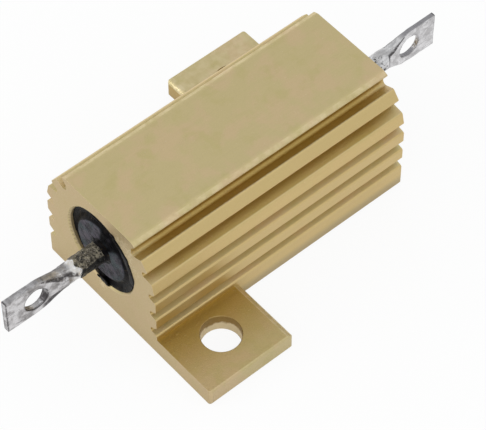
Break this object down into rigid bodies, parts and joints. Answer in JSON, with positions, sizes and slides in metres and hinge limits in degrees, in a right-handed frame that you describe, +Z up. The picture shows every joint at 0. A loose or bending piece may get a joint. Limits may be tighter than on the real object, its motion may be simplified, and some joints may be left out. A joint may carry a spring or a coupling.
{
  "type": "aluminium housed resistor",
  "caption": "Wirewound resistor moulded into a finned aluminium body with two diagonal screw tabs and flattened, pierced solder lugs on both ends.",
  "frame": {"origin": "middle of the base's underside, under the bore's axis", "axes": "+X along the body and its terminals, +Y across it, +Z up from the base"},
  "size_m": [0.0468, 0.0274, 0.0125],
  "materials": {
    "anodised_housing": "satin, pale gold passivated",
    "moulding_compound": "semi-gloss dark grey",
    "ceramic": "unglazed",
    "resistance_wire": "drawn, dull",
    "cap_steel": "pressed, satin",
    "tinned_terminal": "tinned, uneven bright",
    "seal": "glossy black"
  },
  "bodies": {
    "root": {"housing": "anodised_housing", "moulded_filling": "moulding_compound", "ceramic_core": "ceramic", "resistance_winding": "resistance_wire", "end_cap_left": "cap_steel", "end_cap_right": "cap_steel", "terminal_left": "tinned_terminal", "terminal_right": "tinned_terminal", "end_seal_left": "seal", "end_seal_right": "seal"}
  },
  "joints": []
}
